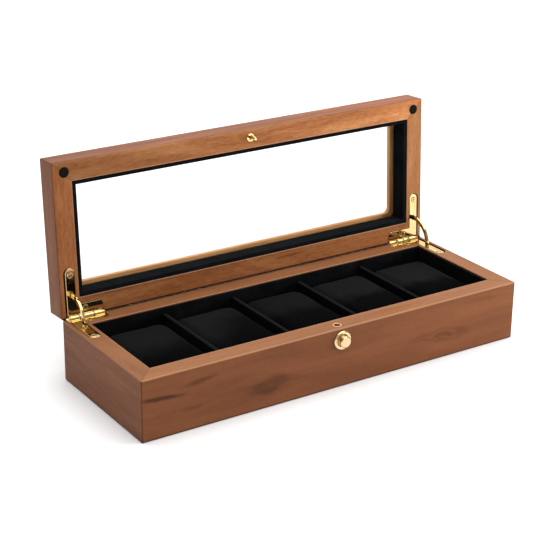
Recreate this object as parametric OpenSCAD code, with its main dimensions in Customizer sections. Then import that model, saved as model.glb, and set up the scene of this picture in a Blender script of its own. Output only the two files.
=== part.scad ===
// Wooden watch box: a mitred base with five lined cells, a glazed lid on two
// quadrant hinges with curved stays, and a push-button catch in the front wall.
// Sizes are in millimetres. The origin is on the table under the middle of the
// base, +X runs along the box, +Y towards the hinges and +Z up. The lid is open.

/* [Box] */
// Length of the box
box_length = 320; // [280:1:400]
// Depth of the base from front to back
box_depth = 114; // [106:1:150]
// Height of the base from the table to its rim
base_height = 45.5; // [44:0.5:70]
// Thickness of the lid
lid_thickness = 19; // [19:0.5:28]
// Thickness of the walls and width of the lid's frame
wall = 14.5; // [14.5:0.5:20]
// Gap between the lid and the rim when the box is shut
lid_gap = 0.3; // [0.2:0.05:0.4]
// Width of the bevel along the outside edges
edge_bevel = 0.8; // [0.3:0.1:1.5]
// Width of the bevel along the two edges that meet at the hinges
hinge_edge_bevel = 0.1; // [0.05:0.05:0.3]
// Distance of the hinge axis below the rim
axis_drop = 0.35; // [0.2:0.05:0.4]
// Angle that the open lid has turned from shut
lid_open_angle = 93.2; // [90:0.1:98]

/* [Bottom] */
// Thickness of the bottom panel
bottom_thickness = 4; // [3:0.5:6]
// Thickness of the felt under the panel
felt_thickness = 1; // [0.5:0.1:2]
// Width of the ledge in the walls that the panel is glued to
ledge = 6; // [4:0.5:8]
// Gap between the panel's edge and the ledge
panel_fit = 0.2; // [0.1:0.05:0.4]

/* [Lining] */
// Thickness of the velvet-covered lining boards
lining_thickness = 1.5; // [1:0.1:2.5]
// Distance from the rim down to the top of the lining
lining_drop = 1; // [0.5:0.1:4]
// Gap between a lining board and its neighbours
lining_fit = 0.1; // [0.05:0.05:0.3]
// Thickness of a divider
divider_thickness = 3; // [2:0.5:5]
// Distance from the rim down to the top of the dividers
divider_drop = 5; // [3:0.5:10]

/* [Cushions] */
// Height of a cushion at its crown
cushion_height = 32.4; // [20:0.2:33]
// Gap between a cushion and the sides of its cell
cushion_side_gap = 0.7; // [0.5:0.1:3]
// Gap between a cushion and the ends of its cell
cushion_end_gap = 1.5; // [0.5:0.1:6]
// Gap between a cushion and the floor lining
cushion_seat_gap = 0.3; // [0.3:0.1:0.6]
// Fall of the cushion's top from the crown to its front and back
cushion_long_crown = 1; // [0.5:0.5:5]
// Fall of the cushion's top from the crown to its sides
cushion_cross_crown = 1; // [0.5:0.5:5]
// Radius of the rolled front and back edges of a cushion's top
cushion_roll = 12; // [6:0.5:14]
// Radius of the front and back edges of its foot
cushion_foot_round = 4; // [2:0.5:8]

/* [Window] */
// Thickness of the glass
glass_thickness = 2; // [1.5:0.1:3]
// Gap round the edge of the glass
glass_fit = 0.4; // [0.2:0.1:0.8]
// Distance that the lid's outer lip reaches over the glass
lip_width = 5.5; // [4.5:0.5:9]
// Thickness of the outer lip
lip_thickness = 3.5; // [2.5:0.5:5]
// Corner radius of the window
window_corner = 4.5; // [1:0.5:8]
// Thickness of the velvet-covered strips that hold the glass
retainer_thickness = 3; // [2:0.1:4]
// Distance that the strips lie below the lid's inner face
retainer_sink = 0.5; // [0.2:0.1:1.5]
// Gap between a strip and the frame
retainer_fit = 0.1; // [0.05:0.05:0.2]

/* [Hinge leaves] */
// Thickness of a leaf
leaf_thickness = 2; // [1.7:0.1:2.3]
// Distance that a lid leaf stands out of the wood; a base leaf lies level with it about the axis
leaf_proud = 0.4; // [0.2:0.05:0.45]
// Distance from the side of the box to the leaf
leaf_inset = 4.6; // [3.8:0.1:5]
// Width of the arm along the side of the box
side_arm_width = 7.2; // [7:0.1:8.4]
// Distance from the hinge axis to the end of that arm
side_arm_reach = 37.5; // [34:0.5:48]
// Width of the arm along the back of the box
back_arm_width = 9.6; // [9:0.1:12]
// Length of the arm along the back, and of the barrel
back_arm_length = 28; // [26:0.5:40]
// Corner radius at the free end of the back arm
back_arm_corner = 3; // [1:0.1:4]
// Gap between a leaf and the edge of its mortise
mortise_fit = 0.2; // [0.1:0.05:0.4]
// Extra width of the mortise on the outer side
mortise_side_gap = 1.4; // [0.2:0.1:1.7]

/* [Hinge barrel] */
// Length of each outer knuckle
outer_knuckle = 8.2; // [6:0.1:9.5]
// Gap between two knuckles
knuckle_gap = 0.2; // [0.1:0.05:0.4]
// Radial gap between a knuckle and the leaf that turns past it
knuckle_relief = 0.25; // [0.15:0.05:0.4]
// Radial gap between the barrel and the notch in the wood
barrel_relief = 0.4; // [0.3:0.05:0.6]
// Radius of the hinge pin
pin_radius = 1; // [0.8:0.05:1.3]
// Running clearance of the middle knuckle on the pin
pin_clearance = 0.05; // [0.02:0.01:0.1]

/* [Stays] */
// Radius of the curved stay about the hinge axis
stay_radius = 18; // [17:0.1:18.4]
// Width of the stay across its curve
stay_width = 3; // [2.4:0.1:3.2]
// Thickness of the stay
stay_thickness = 1.5; // [1.2:0.1:2]
// Distance that the round ends of the stay stand out past its width
stay_end_swell = 0.15; // [0.1:0.05:0.3]
// Gap between the stay and the slot in a leaf
slot_clearance = 0.3; // [0.2:0.05:0.4]
// Radius of the stop pin at each end of the stay
stop_radius = 0.9; // [0.7:0.05:1.1]
// Length of the stop pin
stop_length = 4.2; // [3.6:0.1:4.6]
// Gap between a stop pin and the leaf that it stops against
stop_clearance = 0.1; // [0.05:0.05:0.2]
// Gap between the stay and the pocket in the wood
pocket_clearance = 0.5; // [0.4:0.05:0.7]

/* [Hinge screws] */
// Radius of a screw's countersunk head
screw_head_radius = 2.1; // [1.8:0.1:2.4]
// Height of the countersunk head
screw_head_height = 1.1; // [0.9:0.1:1.2]
// Height of the head's raised crown above the leaf
screw_crown = 0.15; // [0.05:0.05:0.2]
// Width of the sloping rim round the crown
screw_crown_rim = 0.6; // [0.3:0.05:0.6]
// Radius of the shank
screw_radius = 0.9; // [0.7:0.05:1.1]
// Length of a screw
screw_length = 9; // [6:0.5:12]
// Length of each slot of the cross in a screw's head
recess_length = 2.9; // [2.2:0.1:3]
// Width of each slot of the cross
recess_width = 0.6; // [0.4:0.05:0.8]
// Depth of the cross
recess_depth = 0.6; // [0.3:0.05:0.7]
// Gap between a screw and its hole
screw_fit = 0.05; // [0.03:0.01:0.1]
// Distance from the end of the side arm back to its screw
side_screw_setback = 4.8; // [4:0.1:7]
// Distance from the side of the box to the back arm's screw
back_screw_inset = 18.5; // [16:0.1:24]
// Distance from the hinge axis to the back arm's screw
back_screw_reach = 6.2; // [5.4:0.1:6.6]

/* [Catch] */
// Distance from the front of the box to the catch stud
catch_inset = 6.5; // [6.4:0.1:7]
// Distance that the stud stands out of the lid
stud_length = 7; // [6.9:0.1:7.3]
// Radius of the stud's neck
stud_neck_radius = 1; // [0.8:0.05:1.1]
// Radius of the stud's head
stud_head_radius = 1.7; // [1.5:0.05:1.8]
// Height of the stud's head
stud_head_height = 1.2; // [1:0.1:1.4]
// Radius of the stud's collar
stud_collar_radius = 3; // [2.8:0.1:4]
// Gap between the collar and the rim when the box is shut
stud_collar_clearance = 0.1; // [0.05:0.05:0.15]
// Depth of the collar in the wood
stud_collar_depth = 2.4; // [1.8:0.1:3]
// Radius of the stud's shank in the rail
stud_shank_radius = 1.3; // [1.1:0.05:1.8]
// Length of the shank
stud_shank_length = 8; // [5:0.5:12]
// Radius of the ferrule in the rim
ferrule_radius = 3.2; // [2.9:0.1:4]
// Radius of the ferrule's bore
ferrule_bore = 2.4; // [2.2:0.05:2.5]
// Length of the ferrule
ferrule_length = 2.4; // [1.5:0.1:2.6]

/* [Lock] */
// Distance from the rim down to the middle of the push button
button_drop = 9.3; // [9.2:0.1:9.6]
// Radius of the push button
button_radius = 4.4; // [3.6:0.1:4.8]
// Distance that the button stands out of the front of the box
button_proud = 5; // [3:0.1:5.4]
// Width of the bevel round the front of the button
button_edge = 0.6; // [0.3:0.1:1]
// Travel of the button
button_travel = 1.6; // [1.2:0.1:1.6]
// Running clearance of the button
button_clearance = 0.1; // [0.05:0.05:0.2]
// Radius of the round plate about the button
bezel_radius = 7.1; // [6.9:0.1:9]
// Height of the round plate
bezel_height = 1.4; // [0.8:0.1:1.4]
// Width of the sloped edge round the round plate
bezel_edge = 0.6; // [0.3:0.1:0.8]
// Width of the slope from the round plate down to the button
bezel_slope = 0.4; // [0.3:0.1:1.2]
// Outer radius of the lock's housing
housing_radius = 6.4; // [6.3:0.1:6.6]
// Wall thickness of the housing
housing_wall = 0.8; // [0.6:0.05:0.8]
// Gap between the housing and the wood
housing_fit = 0.1; // [0.05:0.05:0.2]
// Thickness of the flange that keeps the button in
button_flange = 0.9; // [0.7:0.05:0.9]
// Length of the return spring when it is pressed flat
spring_solid = 1.1; // [1:0.05:1.1]
// Thickness of the shelf that the spring rests on
shelf_thickness = 0.7; // [0.5:0.05:0.7]
// Radius of the plunger behind the button
plunger_radius = 1.6; // [1.2:0.05:1.7]
// Thickness of the latch hook
hook_thickness = 0.9; // [0.7:0.05:1]
// Gap between the latch hook and the stud
hook_clearance = 0.2; // [0.1:0.05:0.3]
// Half width of the latch hook
hook_half_width = 1.9; // [1.5:0.1:2]
// Radius of the return spring's coil
spring_radius = 3.4; // [2.6:0.1:4.4]
// Radius of the return spring's wire
spring_wire = 0.2; // [0.15:0.01:0.22]
// Turns of the return spring
spring_turns = 2.5; // [2:0.5:3]
// Gap between the return spring and the faces that it bears on
spring_seat_gap = 0.05; // [0.03:0.01:0.1]

/* [Bumpers] */
// Radius of a bumper disc
bumper_radius = 3.75; // [2.5:0.05:4.5]
// Thickness of a bumper disc
bumper_thickness = 1.6; // [1:0.1:3]
// Distance from the side of the box to the middle of a bumper
bumper_side_inset = 9; // [7:0.1:9.5]
// Distance from the front of the box to the middle of a bumper
bumper_front_inset = 7.5; // [6:0.1:8.5]
// Gap between a bumper and the rim when the box is shut
bumper_clearance = 0.1; // [0.05:0.05:0.2]

/* [Hidden] */

$fn = 64;
WOOD = [0.52, 0.32, 0.2];
VELVET = [0.05, 0.05, 0.055];
CUSHION = [0.1, 0.1, 0.11];
GOLD = [0.86, 0.68, 0.33];
STEEL = [0.7, 0.7, 0.72];
GLASS = [0.85, 0.93, 0.95, 0.3];
RUBBER = [0.08, 0.08, 0.08];
// Sides of the large cylinders under the arches of a cushion
ARCH_SIDES = 96;
// Sides of the return spring's wire, and steps along its coil
WIRE_SIDES = 8;
COIL_STEPS = 40;
// Cuts run this far past the face that they open
past = 1;

inner_length = box_length - 2 * wall;
inner_depth = box_depth - 2 * wall;
hinge_y = box_depth / 2;
hinge_z = base_height - axis_drop;

floor_z = felt_thickness + bottom_thickness;
lining_floor_z = floor_z + lining_thickness;
lining_top_z = base_height - lining_drop;
divider_top_z = base_height - divider_drop;
cell_count = 5;
cells_length = inner_length - 2 * (lining_thickness + lining_fit);
cell_length = (cells_length - (cell_count - 1) * divider_thickness) / cell_count;
cell_pitch = cell_length + divider_thickness;
cell_depth = inner_depth - 2 * (lining_thickness + lining_fit);

lip_reach = wall + lip_width;
window_length = box_length - 2 * lip_reach;
window_depth = box_depth - 2 * lip_reach;
glass_floor = lid_thickness - lip_thickness - glass_thickness;

base_leaf_sink = lid_gap + 2 * axis_drop - leaf_proud;
leaf_face_z = base_height - base_leaf_sink;
leaf_floor_z = leaf_face_z - leaf_thickness;
barrel_radius = hinge_z - leaf_floor_z;
side_arm_middle = leaf_inset + side_arm_width / 2;
side_screw_reach = side_arm_reach - side_screw_setback;
middle_knuckle = back_arm_length - 2 * (outer_knuckle + knuckle_gap);

stay_end_radius = stay_width / 2 + stay_end_swell;
stop_angle = asin((barrel_radius + stop_clearance + stop_radius) / stay_radius);
swing_angle = lid_open_angle / 2 + stop_angle;
pocket_width = stop_length + 4 * pocket_clearance;
pocket_round = (pocket_width - sqrt(pocket_width ^ 2 - stop_length ^ 2)) / 2;
pocket_near = stay_radius * cos(swing_angle) - stay_end_radius - pocket_clearance - pocket_round;
pocket_far = stay_radius + stay_end_radius + pocket_clearance + pocket_round;
pocket_depth = stay_radius * sin(swing_angle) + stay_end_radius + pocket_clearance;

stud_collar_proud = lid_gap - stud_collar_clearance;
button_flange_radius = housing_radius - housing_wall - 2 * button_clearance;
flange_back = button_clearance + button_flange;
shelf_front = flange_back + button_travel + spring_solid;
shelf_back = shelf_front + shelf_thickness;
hook_front = catch_inset + stud_neck_radius + hook_clearance;
hook_plate_front = catch_inset + stud_head_radius + 2 * hook_clearance;
shoulder_drop = stud_length - stud_head_height;
hook_top = button_drop - (shoulder_drop - lid_gap) + hook_clearance / 2 + hook_thickness;
plunger_end = hook_plate_front + hook_thickness + hook_clearance;
housing_floor = plunger_end + button_travel + 2 * button_clearance;
housing_depth = housing_floor + housing_wall;

// ---- Places ----

// Puts a bar that runs along X, with its outer face on y = 0, on one side of the box
module on_front() translate([0, -box_depth / 2, 0]) children();
module on_back() rotate(180) translate([0, -box_depth / 2, 0]) children();
module on_left() rotate(-90) translate([0, -box_length / 2, 0]) children();
module on_right() rotate(90) translate([0, -box_length / 2, 0]) children();

// Measures x in from the side of the box and y forward from the hinge axis
module at_left_hinge() translate([-box_length / 2, hinge_y, 0]) mirror([0, 1, 0]) children();
module at_right_hinge() mirror([1, 0, 0]) at_left_hinge() children();

// Carries a piece from its place under the hinge axis to the shut lid above it
module over_axis() translate([0, 0, 2 * hinge_z]) mirror([0, 0, 1]) children();

// Turns a piece of the shut lid to its open place
module opened() {
    translate([0, hinge_y, hinge_z])
        rotate([-lid_open_angle, 0, 0])
            translate([0, -hinge_y, -hinge_z])
                children();
}

// Measures z up from the inner face of the shut lid
module in_lid() opened() translate([0, 0, base_height + lid_gap]) children();

// Measures z in from the front of the box along the middle of the push button
module at_lock() {
    translate([0, -box_depth / 2, base_height - button_drop])
        rotate([-90, 0, 0])
            children();
}

// ---- Shared shapes ----

module rounded_rectangle(length, depth, radius) {
    square([length - 2 * radius, depth], center = true);
    square([length, depth - 2 * radius], center = true);
    for (x = [-1, 1], y = [-1, 1])
        translate([x * (length / 2 - radius), y * (depth / 2 - radius)])
            circle(radius);
}

// A straight bar with its ends mitred at 45 degrees; the child is its profile,
// with x in from the outer face and y up
module mitred_bar(length, width, height, bevel) {
    intersection() {
        translate([-length / 2, 0, 0])
            rotate([90, 0, 90])
                linear_extrude(length)
                    children();
        linear_extrude(height)
            polygon([
                [-length / 2 + bevel, 0], [length / 2 - bevel, 0],
                [length / 2 - bevel / 2, bevel / 2], [length / 2 - width, width],
                [-length / 2 + width, width], [-length / 2 + bevel / 2, bevel / 2]]);
    }
}

// ---- Wooden base ----

module wall_profile(rim_bevel) {
    polygon([
        [edge_bevel, 0], [wall - ledge, 0], [wall - ledge, floor_z], [wall, floor_z],
        [wall, base_height], [rim_bevel, base_height],
        [0, base_height - rim_bevel], [0, edge_bevel]]);
}

module base_bar(length, rim_bevel = edge_bevel) {
    mitred_bar(length, wall, base_height, edge_bevel) wall_profile(rim_bevel);
}

// Mortise, barrel notch, stay pocket and screw holes at the left hinge
module hinge_seat() {
    translate([0, 0, leaf_floor_z])
        linear_extrude(leaf_thickness + base_leaf_sink + past)
            leaf_outline(mortise_fit, mortise_side_gap);
    translate([leaf_inset - barrel_relief, 0, hinge_z])
        rotate([0, 90, 0])
            cylinder(r = barrel_radius + barrel_relief, h = back_arm_length + 2 * barrel_relief);
    translate([side_arm_middle, 0, hinge_z - pocket_depth])
        stay_pocket();
    at_leaf_screws()
        mirror([0, 0, 1])
            cylinder(r = screw_radius + screw_fit, h = screw_length + screw_fit);
}

module stay_pocket() {
    round = pocket_width / 2;
    translate([-round, pocket_near + round, 0])
        cube([pocket_width, pocket_far - pocket_near - pocket_width, pocket_depth]);
    for (y = [pocket_near + round, pocket_far - round])
        translate([0, y, 0])
            cylinder(r = round, h = pocket_depth);
}

module both_hinge_seats() {
    at_left_hinge() hinge_seat();
    at_right_hinge() hinge_seat();
}

// Bore for the lock's housing, and the hole down to it from the rim
module lock_seat() {
    at_lock()
        translate([0, 0, -past])
            cylinder(r = housing_radius + housing_fit, h = housing_depth + housing_fit + past);
    translate([0, -box_depth / 2 + catch_inset, base_height - button_drop])
        cylinder(r = ferrule_radius, h = button_drop + past);
}

module front_wall() {
    color(WOOD)
        difference() {
            on_front() base_bar(box_length);
            lock_seat();
        }
}

module back_wall() {
    color(WOOD)
        difference() {
            on_back() base_bar(box_length, hinge_edge_bevel);
            both_hinge_seats();
        }
}

module left_wall() {
    color(WOOD)
        difference() {
            on_left() base_bar(box_depth);
            at_left_hinge() hinge_seat();
        }
}

module right_wall() {
    color(WOOD)
        difference() {
            on_right() base_bar(box_depth);
            at_right_hinge() hinge_seat();
        }
}

// Sheet that fits into the ledge under the walls
module ledge_sheet(thickness) {
    reach = 2 * (ledge - panel_fit);
    linear_extrude(thickness)
        square([inner_length + reach, inner_depth + reach], center = true);
}

module bottom_panel() color(WOOD) translate([0, 0, felt_thickness]) ledge_sheet(bottom_thickness);

module underside_felt() color(VELVET) ledge_sheet(felt_thickness);

// ---- Lining and dividers ----

module floor_lining() {
    color(VELVET)
        translate([0, 0, floor_z])
            linear_extrude(lining_thickness)
                square([inner_length - 2 * lining_fit, inner_depth - 2 * lining_fit], center = true);
}

module lining_board(length) {
    color(VELVET)
        translate([-length / 2, wall + lining_fit, lining_floor_z])
            cube([length, lining_thickness, lining_top_z - lining_floor_z]);
}

module front_lining() on_front() lining_board(inner_length - 2 * lining_fit);

module back_lining() on_back() lining_board(inner_length - 2 * lining_fit);

module left_lining() on_left() lining_board(cell_depth - 2 * lining_fit);

module right_lining() on_right() lining_board(cell_depth - 2 * lining_fit);

// Dividers are numbered from the left
module divider(number) {
    x = (number - cell_count / 2) * cell_pitch;
    depth = cell_depth - 2 * lining_fit;
    color(VELVET)
        translate([x - divider_thickness / 2, -depth / 2, lining_floor_z])
            cube([divider_thickness, depth, divider_top_z - lining_floor_z]);
}

// ---- Cushions ----

// Radius of an arc that falls by drop over half its chord
function crown_radius(chord, drop) = (chord ^ 2 / 4 + drop ^ 2) / (2 * drop);

// Solid under an arch with its chord along Y and its top at z = height
module under_arch(chord, height, drop, length) {
    radius = crown_radius(chord, drop);
    translate([0, 0, height - radius])
        rotate([0, 90, 0])
            cylinder(r = radius, h = length + 2 * past, center = true, $fn = ARCH_SIDES);
}

// Outline of a cushion seen from its side, its foot on y = 0
module cushion_profile(depth) {
    hull()
        for (side = [-1, 1]) {
            translate([side * (depth / 2 - cushion_roll), cushion_height - cushion_roll])
                circle(cushion_roll);
            translate([side * (depth / 2 - cushion_foot_round), cushion_foot_round])
                circle(cushion_foot_round);
        }
}

// Cushions are numbered from the left
module watch_cushion(number) {
    length = cell_length - 2 * cushion_side_gap;
    depth = cell_depth - 2 * cushion_end_gap;
    x = (number - (cell_count + 1) / 2) * cell_pitch;
    color(CUSHION)
        translate([x, 0, lining_floor_z + cushion_seat_gap])
            intersection() {
                rotate([90, 0, 90])
                    linear_extrude(length, center = true)
                        cushion_profile(depth);
                under_arch(depth, cushion_height, cushion_long_crown, length);
                rotate(90)
                    under_arch(length, cushion_height, cushion_cross_crown, depth);
            }
}

// ---- Hinges ----

// L-shaped outline of a leaf, or of its mortise when grown
module leaf_outline(grow = 0, outer_gap = 0) {
    outer = leaf_inset - max(grow, outer_gap);
    inner = leaf_inset + side_arm_width + grow;
    tip = (inner - outer) / 2;
    side_end = side_arm_reach + grow;
    back_end = leaf_inset + back_arm_length + grow;
    front = back_arm_width + grow;
    translate([outer, -grow])
        square([inner - outer, side_end - tip + grow]);
    translate([outer + tip, side_end - tip])
        circle(tip);
    translate([outer, -grow])
        square([back_end - back_arm_corner - outer, front + grow]);
    translate([outer, -grow])
        square([back_end - outer, front + grow - back_arm_corner]);
    translate([back_end - back_arm_corner, front - back_arm_corner])
        circle(back_arm_corner);
}

// Places of the screws on the face of the left base leaf
module at_leaf_screws() {
    translate([side_arm_middle, side_screw_reach, leaf_face_z]) children();
    translate([back_screw_inset, back_screw_reach, leaf_face_z]) children();
}

// Length of barrel about the hinge axis, from start along the back arm
module barrel_piece(start, length, radius) {
    translate([leaf_inset + start, 0, hinge_z])
        rotate([0, 90, 0])
            cylinder(r = radius, h = length);
}

module outer_knuckles(radius, grow = 0) {
    for (start = [-grow, back_arm_length - outer_knuckle - grow])
        barrel_piece(start, outer_knuckle + 2 * grow, radius);
}

module middle_knuckle(radius, grow = 0) {
    barrel_piece(outer_knuckle + knuckle_gap - grow, middle_knuckle + 2 * grow, radius);
}

module leaf_plate() {
    slot_near = sqrt((stay_radius - stay_width / 2) ^ 2 - barrel_radius ^ 2) - slot_clearance;
    slot_far = stay_radius + stay_width / 2 + slot_clearance;
    slot_width = stay_thickness + 2 * slot_clearance;
    difference() {
        translate([0, 0, leaf_floor_z])
            linear_extrude(leaf_thickness)
                leaf_outline();
        translate([side_arm_middle - slot_width / 2, slot_near, leaf_floor_z - past])
            cube([slot_width, slot_far - slot_near, leaf_thickness + 2 * past]);
        at_leaf_screws()
            screw_clearance();
    }
}

module screw_clearance() {
    radius = screw_radius + screw_fit;
    head = screw_head_radius + screw_fit;
    translate([0, 0, -screw_head_height])
        cylinder(r1 = radius, r2 = head, h = screw_head_height);
    mirror([0, 0, 1])
        cylinder(r = radius, h = screw_length);
    cylinder(r = head, h = past);
}

// Leaf with the two outer knuckles, which hold the pin
module outer_leaf() {
    color(GOLD)
        difference() {
            union() {
                leaf_plate();
                outer_knuckles(barrel_radius);
            }
            middle_knuckle(barrel_radius + knuckle_relief, knuckle_gap);
            barrel_piece(-past, back_arm_length + 2 * past, pin_radius);
        }
}

// Leaf with the middle knuckle, which turns on the pin
module middle_leaf() {
    color(GOLD)
        difference() {
            union() {
                leaf_plate();
                middle_knuckle(barrel_radius);
            }
            outer_knuckles(barrel_radius + knuckle_relief, knuckle_gap);
            barrel_piece(-past, back_arm_length + 2 * past, pin_radius + pin_clearance);
        }
}

module hinge_pin() color(GOLD) barrel_piece(0, back_arm_length, pin_radius);

// Countersunk wood screw with a cross recess; the rim of its head lies on z = 0
module wood_screw() {
    tip = 2 * screw_radius;
    crown_radius = screw_head_radius - screw_crown_rim;
    color(GOLD)
        difference() {
            rotate_extrude()
                polygon([
                    [0, screw_crown], [crown_radius, screw_crown],
                    [screw_head_radius, 0], [screw_radius, -screw_head_height],
                    [screw_radius, tip - screw_length], [0, -screw_length]]);
            for (turn = [0, 90])
                rotate(turn)
                    translate([-recess_length / 2, -recess_width / 2, -recess_depth])
                        cube([recess_length, recess_width, recess_depth + screw_crown + past]);
        }
}

module left_base_leaf() at_left_hinge() outer_leaf();

module right_base_leaf() at_right_hinge() outer_leaf();

module left_hinge_pin() at_left_hinge() hinge_pin();

module right_hinge_pin() at_right_hinge() hinge_pin();

module base_hinge_screws() {
    at_left_hinge() at_leaf_screws() wood_screw();
    at_right_hinge() at_leaf_screws() wood_screw();
}

module left_lid_leaf() opened() over_axis() at_left_hinge() middle_leaf();

module right_lid_leaf() opened() over_axis() at_right_hinge() middle_leaf();

module lid_hinge_screws() {
    opened() over_axis() at_left_hinge() at_leaf_screws() wood_screw();
    opened() over_axis() at_right_hinge() at_leaf_screws() wood_screw();
}

// Curved stay about the hinge axis, with a stop pin at each end. Both ends lie
// just behind the leaves when the lid is open, and in the pockets when it is shut.
module stay() {
    color(GOLD)
        translate([side_arm_middle, 0, hinge_z])
            rotate([90, 0, 90]) {
                rotate(-stop_angle)
                    rotate_extrude(angle = 2 * swing_angle)
                        translate([stay_radius - stay_width / 2, -stay_thickness / 2])
                            square([stay_width, stay_thickness]);
                for (angle = [-stop_angle, lid_open_angle + stop_angle])
                    rotate(angle)
                        translate([stay_radius, 0, 0]) {
                            cylinder(r = stay_end_radius, h = stay_thickness, center = true);
                            cylinder(r = stop_radius, h = stop_length, center = true);
                        }
            }
}

module left_stay() at_left_hinge() stay();

module right_stay() at_right_hinge() stay();

// ---- Lock and catch ----

module rim_ferrule() {
    color(GOLD)
        translate([0, -box_depth / 2 + catch_inset, base_height - ferrule_length])
            difference() {
                cylinder(r = ferrule_radius, h = ferrule_length);
                translate([0, 0, -past])
                    cylinder(r = ferrule_bore, h = ferrule_length + 2 * past);
            }
}

// Cup in the front wall; a shelf seats the spring, and a slot along the top
// lets the stud and the latch hook through
module lock_housing() {
    bore = housing_radius - housing_wall;
    slot_front = max(catch_inset - ferrule_bore, shelf_back);
    color(GOLD)
        at_lock()
            difference() {
                cylinder(r = housing_radius, h = housing_depth);
                translate([0, 0, -past])
                    cylinder(r = bore, h = shelf_front + past);
                translate([0, 0, shelf_back])
                    cylinder(r = bore, h = housing_floor - shelf_back);
                cylinder(r = plunger_radius + button_clearance, h = housing_floor);
                translate([-ferrule_bore, -housing_radius - past, slot_front])
                    cube([2 * ferrule_bore, housing_radius + past, housing_floor - slot_front]);
            }
}

module lock_bezel() {
    bore = button_radius + button_clearance;
    color(GOLD)
        at_lock()
            rotate_extrude()
                polygon([
                    [bore, 0], [bezel_radius, 0], [bezel_radius, -bezel_height / 2],
                    [bezel_radius - bezel_edge, -bezel_height],
                    [bore + bezel_slope, -bezel_height], [bore, -bezel_height / 2]]);
}

// Button, its flange behind the round plate, and its plunger in one turned piece
module push_button() {
    color(GOLD)
        at_lock()
            rotate_extrude()
                polygon([
                    [0, -button_proud], [button_radius - button_edge, -button_proud],
                    [button_radius, button_edge - button_proud], [button_radius, button_clearance],
                    [button_flange_radius, button_clearance], [button_flange_radius, flange_back],
                    [plunger_radius, flange_back], [plunger_radius, plunger_end], [0, plunger_end]]);
}

// Plate on the plunger behind the stud; its lip reaches forward over the stud's head
module latch_hook() {
    lip_z = hook_top - hook_thickness;
    color(STEEL)
        at_lock()
            difference() {
                union() {
                    translate([-hook_half_width, -hook_top, hook_plate_front])
                        cube([2 * hook_half_width, hook_top + 2 * plunger_radius, hook_thickness]);
                    translate([-hook_half_width, -hook_top, hook_front])
                        cube([2 * hook_half_width, hook_top - lip_z, hook_plate_front - hook_front]);
                }
                cylinder(r = plunger_radius, h = housing_depth);
            }
}

// Points of a ring about the spring's wire at one place along the coil
function spring_ring(turn, height) = [
    for (side = [0 : WIRE_SIDES - 1])
        let (around = 360 * side / WIRE_SIDES, reach = spring_radius + spring_wire * cos(around))
            [reach * cos(turn), reach * sin(turn), height + spring_wire * sin(around)]];

module lock_spring() {
    seat = spring_seat_gap + spring_wire;
    bottom = flange_back + seat;
    rise = shelf_front - seat - bottom;
    points = [for (step = [0 : COIL_STEPS])
        let (part = step / COIL_STEPS)
            each spring_ring(360 * spring_turns * part, bottom + rise * part)];
    wall_faces = [for (step = [0 : COIL_STEPS - 1], side = [0 : WIRE_SIDES - 1])
        let (next = (side + 1) % WIRE_SIDES, ring = step * WIRE_SIDES, above = ring + WIRE_SIDES)
            [ring + side, ring + next, above + next, above + side]];
    start_cap = [for (side = [WIRE_SIDES - 1 : -1 : 0]) side];
    end_cap = [for (side = [0 : WIRE_SIDES - 1]) COIL_STEPS * WIRE_SIDES + side];
    color(STEEL)
        at_lock()
            polyhedron(points, concat(wall_faces, [start_cap, end_cap]));
}

// Turned stud with a dished collar in the lid and a shank in the rail
module catch_stud() {
    dish = (stud_collar_radius + stud_neck_radius) / 2;
    color(GOLD)
        in_lid()
            translate([0, -box_depth / 2 + catch_inset, 0])
                rotate_extrude()
                    polygon([
                        [0, -stud_length], [stud_head_radius / 2, -stud_length],
                        [stud_head_radius, stud_head_height / 2 - stud_length],
                        [stud_head_radius, -shoulder_drop], [stud_neck_radius, -shoulder_drop],
                        [stud_neck_radius, stud_collar_depth / 2], [dish, stud_collar_depth / 2],
                        [dish, -stud_collar_proud], [stud_collar_radius, -stud_collar_proud],
                        [stud_collar_radius, stud_collar_depth],
                        [stud_shank_radius, stud_collar_depth],
                        [stud_shank_radius, stud_shank_length], [0, stud_shank_length]]);
}

// Blind hole in the lid's front rail for the stud's collar and shank
module stud_seat() {
    translate([0, -box_depth / 2 + catch_inset, 0]) {
        translate([0, 0, -past])
            cylinder(r = stud_collar_radius, h = stud_collar_depth + past);
        cylinder(r = stud_shank_radius, h = stud_shank_length);
    }
}

// ---- Lid ----

module lid_profile(face_bevel) {
    reach = lip_reach + window_corner;
    polygon([
        [face_bevel, 0], [wall, 0], [wall, lid_thickness - lip_thickness],
        [reach, lid_thickness - lip_thickness], [reach, lid_thickness],
        [edge_bevel, lid_thickness], [0, lid_thickness - edge_bevel], [0, face_bevel]]);
}

module lid_bar(length, face_bevel = edge_bevel) {
    mitred_bar(length, lip_reach + window_corner, lid_thickness, edge_bevel)
        lid_profile(face_bevel);
}

module window_opening() {
    linear_extrude(lid_thickness + past)
        rounded_rectangle(window_length, window_depth, window_corner);
}

// The seats of the hinge leaves, carried to the lid's own height
module lid_hinge_seats() {
    translate([0, 0, -base_height - lid_gap])
        over_axis()
            both_hinge_seats();
}

module bumper_places() {
    for (side = [-1, 1])
        translate([side * (box_length / 2 - bumper_side_inset), bumper_front_inset - box_depth / 2, 0])
            children();
}

module bumper_disc() {
    proud = lid_gap - bumper_clearance;
    translate([0, 0, -proud])
        cylinder(r = bumper_radius, h = bumper_thickness);
}

module lid_front_rail() {
    color(WOOD)
        in_lid()
            difference() {
                on_front() lid_bar(box_length);
                window_opening();
                stud_seat();
                bumper_places() bumper_disc();
            }
}

module lid_back_rail() {
    color(WOOD)
        in_lid()
            difference() {
                on_back() lid_bar(box_length, hinge_edge_bevel);
                window_opening();
                lid_hinge_seats();
            }
}

module lid_stile() {
    color(WOOD)
        in_lid()
            difference() {
                children();
                window_opening();
                lid_hinge_seats();
                bumper_places() bumper_disc();
            }
}

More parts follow.
